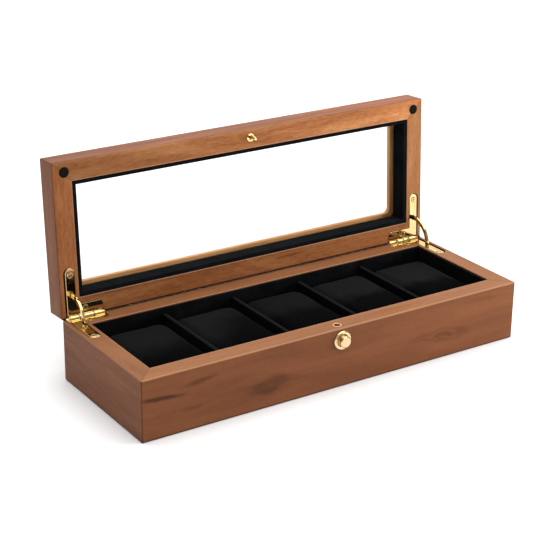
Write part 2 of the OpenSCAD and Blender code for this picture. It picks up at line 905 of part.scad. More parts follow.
module lid_left_stile() lid_stile() on_left() lid_bar(box_depth);

module lid_right_stile() lid_stile() on_right() lid_bar(box_depth);

module lid_bumpers() color(RUBBER) in_lid() bumper_places() bumper_disc();

module glass_pane() {
    color(GLASS)
        in_lid()
            translate([0, 0, glass_floor])
                linear_extrude(glass_thickness)
                    square([inner_length - 2 * glass_fit, inner_depth - 2 * glass_fit], center = true);
}

// Mitred strip along the inside of the lid's frame, up to the glass
module retainer(length) {
    height = glass_floor - retainer_sink;
    color(VELVET)
        translate([0, wall + retainer_fit, retainer_sink])
            mitred_bar(length - 2 * retainer_fit, retainer_thickness, height, retainer_fit)
                square([retainer_thickness, height]);
}

module front_retainer() in_lid() on_front() retainer(inner_length);

module back_retainer() in_lid() on_back() retainer(inner_length);

module left_retainer() in_lid() on_left() retainer(inner_depth);

module right_retainer() in_lid() on_right() retainer(inner_depth);

// ---- Output ----

front_wall();
back_wall();
left_wall();
right_wall();
bottom_panel();
underside_felt();
floor_lining();
front_lining();
back_lining();
left_lining();
right_lining();
divider(1);  // divider_1
divider(2);  // divider_2
divider(3);  // divider_3
divider(4);  // divider_4
watch_cushion(1);  // watch_cushion_1
watch_cushion(2);  // watch_cushion_2
watch_cushion(3);  // watch_cushion_3
watch_cushion(4);  // watch_cushion_4
watch_cushion(5);  // watch_cushion_5
left_base_leaf();
right_base_leaf();
left_hinge_pin();
right_hinge_pin();
base_hinge_screws();
left_stay();
right_stay();
rim_ferrule();
lock_housing();
lock_bezel();
lock_spring();
push_button();
latch_hook();
lid_front_rail();
lid_back_rail();
lid_left_stile();
lid_right_stile();
glass_pane();
front_retainer();
back_retainer();
left_retainer();
right_retainer();
left_lid_leaf();
right_lid_leaf();
lid_hinge_screws();
catch_stud();
lid_bumpers();
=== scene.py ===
"""Looks of the watch box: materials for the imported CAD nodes, sewn cushions, studio and camera.

Everything is in metres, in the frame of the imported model: X along the box, -Y its front, Z up.
"""
import math

import bmesh
import bpy
from mathutils import Matrix, Vector, noise


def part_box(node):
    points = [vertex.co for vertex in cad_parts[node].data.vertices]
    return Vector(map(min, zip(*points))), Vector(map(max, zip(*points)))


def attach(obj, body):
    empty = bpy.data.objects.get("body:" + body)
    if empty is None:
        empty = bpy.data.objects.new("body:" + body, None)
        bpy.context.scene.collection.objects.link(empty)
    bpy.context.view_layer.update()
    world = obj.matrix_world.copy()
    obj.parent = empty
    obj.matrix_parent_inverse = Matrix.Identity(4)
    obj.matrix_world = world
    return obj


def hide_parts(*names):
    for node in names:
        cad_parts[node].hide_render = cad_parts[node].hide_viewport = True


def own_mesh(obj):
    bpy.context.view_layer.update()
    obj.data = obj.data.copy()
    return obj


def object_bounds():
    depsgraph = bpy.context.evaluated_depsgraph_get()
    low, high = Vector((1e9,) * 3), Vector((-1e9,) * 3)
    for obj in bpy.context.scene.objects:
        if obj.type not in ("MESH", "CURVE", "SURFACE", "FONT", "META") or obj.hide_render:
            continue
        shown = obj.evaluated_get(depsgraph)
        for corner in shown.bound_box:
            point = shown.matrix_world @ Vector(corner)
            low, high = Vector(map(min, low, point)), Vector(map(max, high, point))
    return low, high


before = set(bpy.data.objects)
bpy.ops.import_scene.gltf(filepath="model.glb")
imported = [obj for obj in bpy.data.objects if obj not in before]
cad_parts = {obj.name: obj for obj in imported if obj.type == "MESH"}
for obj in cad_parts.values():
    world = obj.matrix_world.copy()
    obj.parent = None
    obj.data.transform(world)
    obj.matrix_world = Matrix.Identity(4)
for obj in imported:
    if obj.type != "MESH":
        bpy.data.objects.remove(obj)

CAD_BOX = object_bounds()
MM = 0.001
# Half the length and depth of the box, and of the room inside its walls
BOX_HALF = (0.160, 0.057)
ROOM_HALF = (0.1455, 0.0425)


def add_mesh(name, bm):
    """Turns a bmesh into an object in the scene, and frees it."""
    mesh = bpy.data.meshes.new(name)
    bm.to_mesh(mesh)
    bm.free()
    obj = bpy.data.objects.new(name, mesh)
    bpy.context.scene.collection.objects.link(obj)
    return obj


# ---------------------------------------------------------------- camera

# The photograph's viewpoint: a turn about the target, then an angle above the table
CAMERA_TURN = math.radians(-33.65)
CAMERA_RISE = math.radians(22.11)
CAMERA_ROLL = math.radians(0.72)
CAMERA_DISTANCE = 1.0910
CAMERA_TARGET = Vector((-0.0193, 0.0, 0.0698))
CAMERA_LENS = 100.0
CAMERA_SENSOR = 36
CAMERA_CLIP = (0.01, 50)


def add_camera():
    """Camera without lens shift or depth of field, rolled a little about its line of sight."""
    forward = Vector((
        math.sin(-CAMERA_TURN) * math.cos(CAMERA_RISE),
        math.cos(CAMERA_TURN) * math.cos(CAMERA_RISE),
        -math.sin(CAMERA_RISE)))
    right = forward.cross(Vector((0, 0, 1))).normalized()
    up = right.cross(forward)
    turned_right = right * math.cos(CAMERA_ROLL) + up * math.sin(CAMERA_ROLL)
    turned_up = up * math.cos(CAMERA_ROLL) - right * math.sin(CAMERA_ROLL)
    place = Matrix((turned_right, turned_up, -forward)).transposed().to_4x4()
    place.translation = CAMERA_TARGET - forward * CAMERA_DISTANCE
    data = bpy.data.cameras.new("camera")
    data.lens = CAMERA_LENS
    data.sensor_width = CAMERA_SENSOR
    data.clip_start, data.clip_end = CAMERA_CLIP
    camera = bpy.data.objects.new("camera", data)
    camera.matrix_world = place
    bpy.context.scene.collection.objects.link(camera)
    bpy.context.scene.camera = camera


# ---------------------------------------------------------------- node trees

class Tree:
    """A material's node tree, built one call at a time."""

    def __init__(self, name):
        self.material = bpy.data.materials.new(name)
        self.material.use_nodes = True
        self.nodes = self.material.node_tree.nodes
        self.links = self.material.node_tree.links
        self.shader = self.nodes["Principled BSDF"]
        self.place = self.add("ShaderNodeTexCoord").outputs["Object"]

    def add(self, kind, values=None, **settings):
        """Adds a node; each value is a number, a colour or the socket to link from."""
        node = self.nodes.new(kind)
        for key, value in settings.items():
            setattr(node, key, value)
        for key, value in (values or {}).items():
            self.give(node.inputs[key], value)
        return node

    def give(self, socket, value):
        if isinstance(value, bpy.types.NodeSocket):
            self.links.new(value, socket)
        else:
            socket.default_value = value

    def set(self, **values):
        """Sets the shader's own sockets; a name's underscores stand for spaces."""
        for key, value in values.items():
            self.give(self.shader.inputs[key.replace("_", " ")], value)

    def math(self, kind, a, b=0.0):
        return self.add("ShaderNodeMath", {0: a, 1: b}, operation=kind).outputs[0]

    def fused(self, value, factor, extra, clamp=False):
        """value times factor plus extra."""
        return self.add("ShaderNodeMath", {0: value, 1: factor, 2: extra},
                        operation="MULTIPLY_ADD", use_clamp=clamp).outputs[0]

    def vector(self, kind, *values):
        """A vector node; its first output is a vector and its second one a number."""
        return self.add("ShaderNodeVectorMath", dict(enumerate(values)), operation=kind).outputs

    def axis(self, vector, index):
        return self.add("ShaderNodeSeparateXYZ", {0: vector}).outputs[index]

    def move(self, vector, offset=(0, 0, 0), turn=(0, 0, 0), scale=(1, 1, 1), kind="POINT"):
        values = {"Vector": vector, "Location": offset, "Rotation": turn, "Scale": scale}
        return self.add("ShaderNodeMapping", values, vector_type=kind).outputs[0]

    def noise(self, vector, size, detail=3.0, roughness=0.5, distortion=0.0):
        """Noise from 0 to 1 whose features are about size metres long on each axis."""
        scale = tuple(1 / s for s in size)
        values = {"Vector": self.move(vector, scale=scale), "Scale": 1.0, "Detail": detail,
                  "Roughness": roughness, "Distortion": distortion}
        return self.add("ShaderNodeTexNoise", values).outputs[0]

    def span(self, value, low, high, to_low=0.0, to_high=1.0, smooth=True):
        """Carries the range from low to high over to another, and holds it at both ends."""
        values = {"Value": value, "From Min": low, "From Max": high,
                  "To Min": to_low, "To Max": to_high}
        kind = "SMOOTHSTEP" if smooth else "LINEAR"
        return self.add("ShaderNodeMapRange", values, interpolation_type=kind).outputs[0]

    def ramp(self, value, stops):
        """The colour at a value among stops, each a place and its colour."""
        node = self.add("ShaderNodeValToRGB", {0: value})
        elements = node.color_ramp.elements
        while len(elements) < len(stops):
            elements.new(0.5)
        for element, (place, colour) in zip(elements, stops):
            element.position = place
            element.color = (*colour, 1)
        return node.outputs[0]

    def mix(self, share, a, b):
        """Colour a where the share is 0 and colour b where it is 1."""
        node = self.add("ShaderNodeMix", data_type="RGBA")
        for index, value in ((0, share), (6, a), (7, b)):
            if isinstance(value, tuple) and len(value) == 3:
                value = (*value, 1)
            self.give(node.inputs[index], value)
        return node.outputs[2]

    def bump(self, height, strength, distance):
        """Bump on the shader's normal, distance metres deep."""
        values = {"Height": height, "Strength": strength, "Distance": distance}
        self.set(Normal=self.add("ShaderNodeBump", values).outputs[0])


# ---------------------------------------------------------------- wood

LID_OPENING = math.radians(93.2)
HINGE_POINT = Vector((0, BOX_HALF[1], 0.04515))
# Distance from the hinge axis to the face of the lid that meets the rim when shut
LID_FACE_DROP = 0.65 * MM
# The window in the open lid: its middle, the middles of its round corners, and their radius
LID_WAY = Vector((0, -math.cos(LID_OPENING), math.sin(LID_OPENING)))
WINDOW_MIDDLE = HINGE_POINT + LID_WAY * BOX_HALF[1]
WINDOW_CORNER = 4.5 * MM
WINDOW_CORE = (0.1355, 0.0325, 1.0)
# How far the ledge behind the glass reaches past WINDOW_CORE, and its height in the lid
LEDGE_REACH = 9.7 * MM
LEDGE_HEIGHT = 16.5 * MM

# Stained outer faces, from dark streaks to light ones, and the paler faces that meet when shut
OUTER_TONES = [(0.0, (0.070, 0.026, 0.012)), (0.35, (0.152, 0.052, 0.021)),
               (0.6, (0.200, 0.070, 0.029)), (1.0, (0.270, 0.102, 0.046))]
RIM_TONES = [(0.0, (0.150, 0.060, 0.022)), (0.35, (0.232, 0.092, 0.036)),
             (0.6, (0.282, 0.115, 0.047)), (1.0, (0.350, 0.152, 0.068))]
LID_TONES = [(0.0, (0.120, 0.034, 0.010)), (0.35, (0.228, 0.078, 0.026)),
             (0.6, (0.305, 0.120, 0.043)), (1.0, (0.430, 0.205, 0.090))]
# The bare cut edge round the window, and the open pores
LIP_TONES = ((0.50, 0.235, 0.085), (0.62, 0.325, 0.13))
PORE_TONE = (0.06, 0.022, 0.011)
# Painted shade in the hinges' mortises: its tone, how deep it reaches, and its two distances
# from the middle of the box
POCKET_SHADE_TONE = (0.020, 0.0075, 0.0025)
POCKET_REACH = 17 * MM
POCKET_SIDES = (0.1463, 0.1589)
# How finely the outlines of the marks wander, and how far along their three axes
MARK_SCALE = 42.0
MARK_WANDER = (1.1, 0, 1.5)
GRAIN_TURNS = {"x": (0, 0, 0), "y": (0, 0, -math.pi / 2), "z": (0, math.pi / 2, 0)}
# Layers of the grain: the size of their features, detail, roughness and distortion
GRAIN_LAYERS = (((0.110, 0.016, 0.016), 4, 0.55, 0.7), ((0.060, 0.0042, 0.0042), 4, 0.6, 0.5),
                ((0.014, 0.0006, 0.0006), 3, 0.6), ((0.0050, 0.0011, 0.0011), 2, 0.5),
                ((0.0042, 0.00026, 0.00026), 1, 0.5))
GRAIN_MIDDLE = 0.545


def add_marks(tree, tone, marks):
    """Darkens soft ovals of the tone, one for each mark."""
    values = {"Vector": tree.place, "Scale": MARK_SCALE, "Detail": 4.0}
    wander = tree.add("ShaderNodeTexNoise", values).outputs[1]
    pull = tree.vector("SUBTRACT", wander, (0.5, 0.5, 0.5))[0]
    for middle, half, tilt, depth, ripples in marks:
        local = tree.move(tree.place, middle, (0, math.radians(-tilt), 0), half, "TEXTURE")
        bent = tree.vector("MULTIPLY_ADD", pull, MARK_WANDER, local)[0]
        reach = tree.vector("LENGTH", bent)[1]
        inside = tree.span(reach, 0.15, 1.0, depth, 0.0)
        if ripples:
            wave = tree.math("SINE", tree.math("MULTIPLY", reach, ripples))
            inside = tree.math("MULTIPLY", inside, tree.span(wave, -1, 1, 0.25, 1.0))
        tone = tree.math("SUBTRACT", tone, inside)
    return tone


def past_plane(tree, point, normal, low, high):
    """0 to 1 as a place goes from low to high metres past a plane."""
    offset = tree.vector("SUBTRACT", tree.place, tuple(point))[0]
    return tree.span(tree.vector("DOT_PRODUCT", offset, tuple(normal))[1], low, high)


def pocket_shade_mask(tree, point, normal):
    """1 in the mortises cut under a face that meets when shut, within the side walls and stiles:
    where shade is painted.
    """
    away = tree.math("ABSOLUTE", tree.axis(tree.place, 0))
    (near, far), soft = POCKET_SIDES, 0.1 * MM
    side = tree.math("MULTIPLY", tree.span(away, near - soft, near + soft, smooth=False),
                     tree.span(away, far - soft, far + soft, 1.0, 0.0, smooth=False))
    inward = -Vector(normal)
    under = tree.math("MULTIPLY", past_plane(tree, point, inward, 0.05 * MM, 0.15 * MM),
                      past_plane(tree, Vector(point) + inward * POCKET_REACH, -inward, 0, 0.1 * MM))
    return tree.math("MULTIPLY", side, under)


def window_lip(tree):
    """1 on the lip round the glass, in the open lid: its cut edge and the ledge behind the pane."""
    flat = tree.move(tree.place, tuple(WINDOW_MIDDLE), (-LID_OPENING, 0, 0), kind="TEXTURE")
    past = tree.vector("SUBTRACT", tree.vector("ABSOLUTE", flat)[0], WINDOW_CORE)[0]
    reach = tree.vector("LENGTH", tree.vector("MAXIMUM", past, (0, 0, 0))[0])[1]
    depth = tree.axis(flat, 2)

    def within(value, limit):
        return tree.span(value, limit - 0.1 * MM, limit + 0.1 * MM, 1.0, 0.0)

    cut_edge = within(reach, WINDOW_CORNER + 0.2 * MM)
    ledge = tree.math("MULTIPLY", within(reach, LEDGE_REACH), within(depth, LEDGE_HEIGHT))
    return tree.math("MAXIMUM", cut_edge, ledge)


def wood(name, grain, seed, inner_face=None, marks=(), lightness=0.0, joints_and_painted_light=(),
         painted_light_drift=((1, 1), (1, 1)), figure=1.0, in_lid=False, shade_pockets=False):
    """Satin stained wood.

    grain is the axis that it runs along, and figure is how much it stands out. inner_face is a
    point and a normal: what lies past it has the paler tone of the faces that meet when shut.
    The drift pairs are painted light: how light the wood is painted at the left and the right end
    of the box, on outer faces and then on inner ones, standing in for light that falls unevenly
    along it. Each of the joint and light marks is a plane's point and normal, the distances past it
    between which a tone comes in, that tone and its share: dark mitre joints, painted shade along
    the hinge line and the foot, and painted highlights along edges. The mortise flag adds painted
    shade in the hinges' mortises.
    """
    tree = Tree(name)
    along = tree.move(tree.place, (seed * 1.37, seed * 0.71, seed * 0.43), GRAIN_TURNS[grain])
    broad, streak, fibre, fleck, pore = [tree.noise(along, *layer) for layer in GRAIN_LAYERS]
    tone = GRAIN_MIDDLE + lightness
    fleck_weight = 0.48 if in_lid else 0.16
    for layer, weight in ((broad, 1.05), (streak, 0.50), (fibre, 0.22), (fleck, fleck_weight)):
        tone = tree.fused(tree.math("SUBTRACT", layer, 0.5), weight * figure, tone)
    tone = add_marks(tree, tone, marks)
    colour = tree.ramp(tone, OUTER_TONES)
    if inner_face:
        reach = BOX_HALF[0]
        # Painted light: the colour is scaled from the left to the right end of the box, standing in
        # for light that falls unevenly along it
        outer, inner = [tree.span(tree.axis(tree.place, 0), -reach, reach, *ends, smooth=False)
                        for ends in painted_light_drift]
        paler = past_plane(tree, *inner_face, -0.45 * MM, -0.15 * MM)
        colour = tree.mix(paler, colour, tree.ramp(tone, LID_TONES if in_lid else RIM_TONES))
        values = {0: colour, "Scale": tree.span(paler, 0, 1, outer, inner, smooth=False)}
        colour = tree.add("ShaderNodeVectorMath", values, operation="SCALE").outputs[0]
    pits = tree.span(pore, 0.60, 0.72)
    colour = tree.mix(tree.math("MULTIPLY", pits, 0.35), colour, PORE_TONE)
    # Dark mitre joints, and painted shade and painted highlights along edges
    for point, normal, low, high, joint_and_light_tone, share in joints_and_painted_light:
        there = tree.math("MULTIPLY", past_plane(tree, point, normal, low * MM, high * MM), share)
        colour = tree.mix(there, colour, joint_and_light_tone)
    # Painted shade in the hinges' mortises
    if shade_pockets:
        colour = tree.mix(pocket_shade_mask(tree, *inner_face), colour, POCKET_SHADE_TONE)
    if in_lid:
        lip = tree.mix(tree.span(streak, 0.3, 0.7), *LIP_TONES)
        colour = tree.mix(window_lip(tree), colour, lip)
    tree.set(Base_Color=colour, Specular_IOR_Level=0.08,
             Roughness=tree.span(streak, 0.3, 0.7, 0.50, 0.40))
    tree.bump(tree.math("SUBTRACT", tree.math("MULTIPLY", fibre, 0.5), pits), 0.30, 0.06 * MM)
    return tree.material


# ---------------------------------------------------------------- velvet, metal, glass, rubber

def velvet(name, colour, light_colour, seed, sheen, lit=None):
    """Short pile with a fine nap. lit(tree) gives where the pile takes its lighter tone: painted
    sheen on cushions and dividers, random patches otherwise.
    """
    tree = Tree(name)
    shifted = tree.move(tree.place, (seed * 0.91, seed * 0.37, seed * 0.53))
    nap = tree.noise(shifted, (0.55 * MM,) * 3, 2, 0.6)
    tuft = tree.noise(shifted, (1.9 * MM,) * 3, 3, 0.6)
    patch = tree.noise(shifted, (0.018, 0.028, 0.018), 3, 0.55, 0.8)
    share = lit(tree) if lit else tree.span(patch, 0.35, 0.70, 0.1, 0.7)
    share = tree.fused(tree.math("SUBTRACT", nap, 0.5), 0.55, share, clamp=True)
    tree.set(Base_Color=tree.mix(share, colour, light_colour), Specular_IOR_Level=0.0,
             Roughness=tree.span(patch, 0.3, 0.7, 0.98, 0.82),
             Sheen_Weight=sheen, Sheen_Roughness=0.42, Sheen_Tint=(0.80, 0.84, 0.90, 1))
    tree.bump(tree.fused(tuft, 0.6, nap), 0.55, 0.22 * MM)
    return tree.material


def painted_sheen_patch(middle, half, lean, low, high, strength):
    """Painted sheen on the part of a cushion's top that lies towards lean, with a wandering, soft
    border.
    """
    def lit(tree):
        local = tree.move(tree.place, middle, scale=half, kind="TEXTURE")
        towards = tree.vector("DOT_PRODUCT", local, (*lean, 0))[1]
        wander = tree.noise(tree.place, (0.020, 0.026, 0.020), 2, 0.5, 0.6)
        reach = tree.fused(tree.math("SUBTRACT", wander, 0.5), 0.6, towards)
        return tree.span(reach, low, high, 0.06, strength)
    return lit


def painted_edge_sheen(height):
    """Painted sheen on the pile above a height, lighter along the top edge."""
    def lit(tree):
        up = tree.axis(tree.place, 2)
        return tree.span(up, height - 1.2 * MM, height - 0.2 * MM, 0.08, 1.0)
    return lit


def polished_metal(name, colour, tint, seed, roughness, scratches):
    """Plated metal: a bright polish with hairlines, dull patches and a warmer tint in places."""
    tree = Tree(name)
    shifted = tree.move(tree.place, (seed * 0.61, seed * 0.29, seed * 0.83))
    patch = tree.noise(shifted, (0.009, 0.006, 0.006), 3, 0.6)
    hairline = tree.noise(shifted, (0.0035, 0.00012, 0.00012), 2, 0.6)
    ripple = tree.noise(shifted, (0.0021, 0.0017, 0.0019), 2, 0.4)
    tree.set(Metallic=1.0, Base_Color=tree.mix(tree.span(patch, 0.35, 0.7), colour, tint),
             Roughness=tree.span(patch, 0.3, 0.75, *roughness))
    tree.bump(tree.fused(hairline, 0.10, ripple), scratches, 0.05 * MM)
    return tree.material


def clear_glass(name):
    """Thin pane: each face mirrors as strongly as glass does, with faint smudges."""
    tree = Tree(name)
    smudge = tree.noise(tree.place, (0.045, 0.045, 0.030), 3, 0.55, 0.6)
    facing = tree.add("ShaderNodeLayerWeight", {"Blend": 0.5}).outputs[1]
    haze = tree.span(smudge, 0.45, 0.8, 0.033, 0.040)
    bounce = tree.fused(tree.math("POWER", facing, 5.0), 0.90, haze)
    tree.set(Metallic=1.0, Base_Color=(0.93, 0.97, 0.96, 1), Alpha=bounce,
             Roughness=tree.span(smudge, 0.4, 0.75, 0.010, 0.040))
    return tree.material


def rubber(name):
    """Matte black rubber with a little dust."""
    tree = Tree(name)
    grain = tree.noise(tree.place, (0.35 * MM,) * 3, 2, 0.6)
    dust = tree.noise(tree.place, (1.8 * MM,) * 3, 3, 0.6)
    colour = tree.mix(tree.span(dust, 0.4, 0.8), (0.004, 0.004, 0.004), (0.009, 0.009, 0.009))
    tree.set(Base_Color=colour, Specular_IOR_Level=0.06,
             Roughness=tree.span(dust, 0.3, 0.7, 0.60, 0.75))
    tree.bump(grain, 0.35, 0.08 * MM)
    return tree.material


# ---------------------------------------------------------------- finishing the CAD nodes

def finish_node(name, material, bevel=0.0, segments=2, clamp=True):
    """Gives a CAD node its material, and rounds its sharp edges with modifiers."""
    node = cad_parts[name]
    node.data.materials.clear()
    node.data.materials.append(material)
    if bevel:
        weld = node.modifiers.new("weld", "WELD")
        weld.merge_threshold = 1e-6
        rounding = node.modifiers.new("rounding", "BEVEL")
        rounding.width = bevel
        rounding.segments = segments
        rounding.limit_method = "ANGLE"
        rounding.angle_limit = math.radians(35)
        rounding.use_clamp_overlap = clamp
        rounding.harden_normals = True
        rounding.miter_outer = "MITER_ARC"


# Each wooden bar: the axis of its grain, a seed, how much lighter than common its tone is, how
# much its grain stands out, and its drift of painted light: how light the wood is painted at the
# left and right end of the box, on outer faces and on inner ones, for light that falls unevenly
BARS = {
    "front_wall": ("x", 3, -0.03, 0.64, ((0.86, 0.94), (0.97, 1.02))),
    "back_wall": ("x", 11, -0.02, 0.85, ((0.90, 0.90), (0.80, 0.95))),
    "left_wall": ("y", 5, -0.06, 0.85, ((0.93, 1.00), (0.88, 1.00))),
    "right_wall": ("y", 7, -0.02, 0.85, ((0.95, 0.95), (1.00, 1.00))),
    "lid_front_rail": ("x", 13, 0.0, 1.10, ((1.05, 1.50), (0.78, 1.50))),
    "lid_back_rail": ("x", 17, -0.08, 1.05, ((0.90, 0.90), (0.78, 1.06))),
    "lid_left_stile": ("z", 19, -0.06, 1.0, ((0.95, 1.00), (1.05, 1.05))),
    "lid_right_stile": ("z", 23, 0.04, 0.85, ((1.00, 1.00), (1.00, 1.00)))}
# Dark knots and streaks: the middle of each, its half sizes, tilt, depth and ripples
MARKS = {
    "front_wall": (
        ((-0.146, -BOX_HALF[1], 0.0290), (0.026, 1, 0.0026), -2, 0.62, 0),
        ((-0.115, -BOX_HALF[1], 0.0345), (0.022, 1, 0.0030), 3, 0.34, 0),
        ((-0.122, -BOX_HALF[1], 0.0165), (0.013, 1, 0.0022), 0, 0.22, 0),
        ((-0.062, -BOX_HALF[1], 0.0170), (0.040, 1, 0.0120), 4, 0.30, 7),
        ((0.089, -BOX_HALF[1], 0.0195), (0.042, 1, 0.0085), -5, 0.26, 14),
        ((0.128, -BOX_HALF[1], 0.0380), (0.030, 1, 0.0040), 2, 0.20, 5)),
    "lid_back_rail": (((0.036, 0.0577, 0.0550), (0.018, 1, 0.0014), 1, 0.40, 0),)}
# The two rails whose edges meet along the hinge line keep them sharp; the others are rounded
CLOSE_FITTED = ("back_wall", "lid_back_rail")
WOOD_ROUNDING = 0.40 * MM
# The mitres at both ends of a frame's bars: the corner's side, and the way out of the bar there
MITRES = {"front": ((-1, -1, -1, 1), (1, -1, 1, 1)), "back": ((-1, 1, -1, -1), (1, 1, 1, -1)),
          "left": ((-1, -1, 1, -1), (-1, 1, 1, 1)), "right": ((1, -1, -1, -1), (1, 1, -1, 1))}
# Which way is in from each side, and the share of the painted highlight along its inner and its
# outer edge
INWARD = {"front": ((0, 1, 0), 0.30, 0.36), "back": ((0, -1, 0), 0.35, 0.0),
          "left": ((1, 0, 0), 0.15, 0.16), "right": ((-1, 0, 0), 0.10, 0.25)}
JOINT_TONE = (0.045, 0.016, 0.006)
# Tone of the painted shade in crevices and at the foot of the walls
CREVICE_SHADE_TONE = (0.014, 0.005, 0.002)
# Tone of the painted highlights along the edges
EDGE_HIGHLIGHT_TONE = (0.74, 0.49, 0.30)
# Painted shade in the two facing edges along the hinge line, and a painted contact shadow at the
# foot of the walls: a point and normal, the distances past them in millimetres between which it
# comes in, its tone and share
HINGE_LINE_SHADE = {
    "back_wall": ((0, 0.0570, 0.0455), (0, 0.50, 0.87), -0.95, -0.35, CREVICE_SHADE_TONE, 1.0),
    "lid_back_rail": ((0, 0.0577, 0.0455), (0, -0.60, -0.80), -0.95, -0.35, CREVICE_SHADE_TONE, 1.0)}
FOOT_SHADE = ((0, 0, 0), (0, 0, -1), -1.50, -0.80, CREVICE_SHADE_TONE, 0.85)


def mitre_joints(side, turn):
    """Planes of a bar's two mitres, carried by turn from the shut box to where the bar is."""
    joints_and_painted_light = []
    for corner_x, corner_y, out_x, out_y in MITRES[side]:
        corner = turn @ Vector((corner_x * BOX_HALF[0], corner_y * BOX_HALF[1], HINGE_POINT.z))
        out = turn.to_3x3() @ Vector((out_x, out_y, 0)).normalized()
        joints_and_painted_light.append((corner, out, -0.45, 0.05, JOINT_TONE, 0.55))
    return joints_and_painted_light


def painted_edge_highlight(side, turn, height, up, outer=False):
    """A painted highlight along an edge of a bar's meeting face: the one on the inside, or the
    outer one.
    """
    way, *shares = INWARD[side]
    reach_x, reach_y = BOX_HALF if outer else ROOM_HALF
    edge = Vector((-way[0] * reach_x, -way[1] * reach_y, height))
    towards = Vector((0, 0, up)) + Vector(way) * (-1 if outer else 1)
    reach = (-0.64, -0.50) if outer else (-0.42, -0.20)
    return turn @ edge, turn.to_3x3() @ towards.normalized(), *reach, EDGE_HIGHLIGHT_TONE, shares[outer]


def dress_wood():
    rim_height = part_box("front_wall")[1].z
    rim = ((0, 0, rim_height), (0, 0, 1))
    normal = Vector((0, -math.sin(LID_OPENING), -math.cos(LID_OPENING)))
    lid_face = (HINGE_POINT - normal * LID_FACE_DROP, normal)
    still = Matrix.Identity(4)
    opened = (Matrix.Translation(HINGE_POINT) @ Matrix.Rotation(-LID_OPENING, 4, "X")
              @ Matrix.Translation(-HINGE_POINT))
    for name, (grain, seed, lightness, figure, painted_light_drift) in BARS.items():
        in_lid = name.startswith("lid_")
        side = name.split("_")[in_lid]
        turn = opened if in_lid else still
        joints_and_painted_light = mitre_joints(side, turn)
        if name in HINGE_LINE_SHADE:
            joints_and_painted_light.append(HINGE_LINE_SHADE[name])
        # Painted highlights along the edges of the meeting faces; the base walls also get painted
        # shade at their foot
        if in_lid:
            joints_and_painted_light.append(painted_edge_highlight(side, turn, HINGE_POINT.z + LID_FACE_DROP, -1))
        else:
            joints_and_painted_light += [painted_edge_highlight(side, turn, rim_height, 1), FOOT_SHADE,
                       painted_edge_highlight(side, turn, rim_height, 1, outer=True)]
        # The side walls and stiles get painted shade in their mortises
        shade_pockets = name.endswith(("left_wall", "right_wall", "stile"))
        material = wood(f"wood_{name}", grain, seed, lid_face if in_lid else rim,
                        MARKS.get(name, ()), lightness, joints_and_painted_light, painted_light_drift, figure, in_lid, shade_pockets)
        finish_node(name, material, 0.0 if name in CLOSE_FITTED else WOOD_ROUNDING, 3)
    finish_node("bottom_panel", wood("wood_panel", "x", 29, lightness=0.1))


# Tones in the pile and its lighter tone (random patches on linings and felt, painted sheen on
# dividers and cushions), then a seed and the sheen
PILES = {"velvet_lining": ((0.0030, 0.0032, 0.0037), (0.0078, 0.0082, 0.0092), 2, 0.02),
         "velvet_strip": ((0.0042, 0.0046, 0.0052), (0.0080, 0.0086, 0.0094), 4, 0.03),
         "felt_underside": ((0.006, 0.006, 0.007), (0.014, 0.014, 0.015), 6, 0.10)}
DIVIDER_PILE = ((0.0024, 0.0024, 0.0028), (0.0092, 0.0090, 0.0092), 3, 0.015)
CUSHION_PILE = ((0.0010, 0.0010, 0.0012), (0.0084, 0.0084, 0.0088))
CUSHION_SEED = 8
CUSHION_SHEEN = 0.02
DIVIDER_ROUNDING = 0.9 * MM
STRIP_ROUNDING = 0.3 * MM
BUMPER_ROUNDING = 0.18 * MM


def dress_velvet():
    piles = {name: velvet(name, *look) for name, look in PILES.items()}
    divider = velvet("velvet_divider", *DIVIDER_PILE, painted_edge_sheen(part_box("divider_1")[1].z))
    for name in ("floor_lining", "front_lining", "back_lining", "left_lining", "right_lining"):
        finish_node(name, piles["velvet_lining"])
    for number in range(1, 5):
        finish_node(f"divider_{number}", divider, DIVIDER_ROUNDING, 3)
    for side in ("front", "back", "left", "right"):
        finish_node(f"{side}_retainer", piles["velvet_strip"], STRIP_ROUNDING)
    finish_node("underside_felt", piles["felt_underside"])


# Finishes of the metal: its tone and the tint in places, a seed, the roughness, the scratches
METALS = {
    "gold_leaf": ((0.76, 0.53, 0.19), (0.80, 0.60, 0.27), 1, (0.045, 0.10), 0.04),
    # The lid leaves' gold is a darker copy of the base leaves' gold: painted shade that dims their
    # reflections
    "gold_lid_leaf_dimmed": ((0.67, 0.49, 0.22), (0.71, 0.54, 0.28), 5, (0.045, 0.10), 0.04),
    "gold_small": ((0.68, 0.46, 0.19), (0.74, 0.54, 0.27), 8, (0.07, 0.14), 0.10),
    "gold_button": ((0.68, 0.49, 0.27), (0.73, 0.55, 0.32), 15, (0.10, 0.18), 0.05),
    "gold_bezel": ((0.76, 0.57, 0.32), (0.80, 0.62, 0.38), 12, (0.24, 0.32), 0.05),
    "gold_inside": ((0.80, 0.56, 0.26), (0.88, 0.65, 0.33), 21, (0.18, 0.32), 0.10),
    "gold_ferrule": ((0.90, 0.57, 0.31), (0.94, 0.65, 0.38), 9, (0.32, 0.42), 0.10),
    "spring_steel": ((0.60, 0.61, 0.63), (0.70, 0.70, 0.70), 27, (0.16, 0.30), 0.10)}
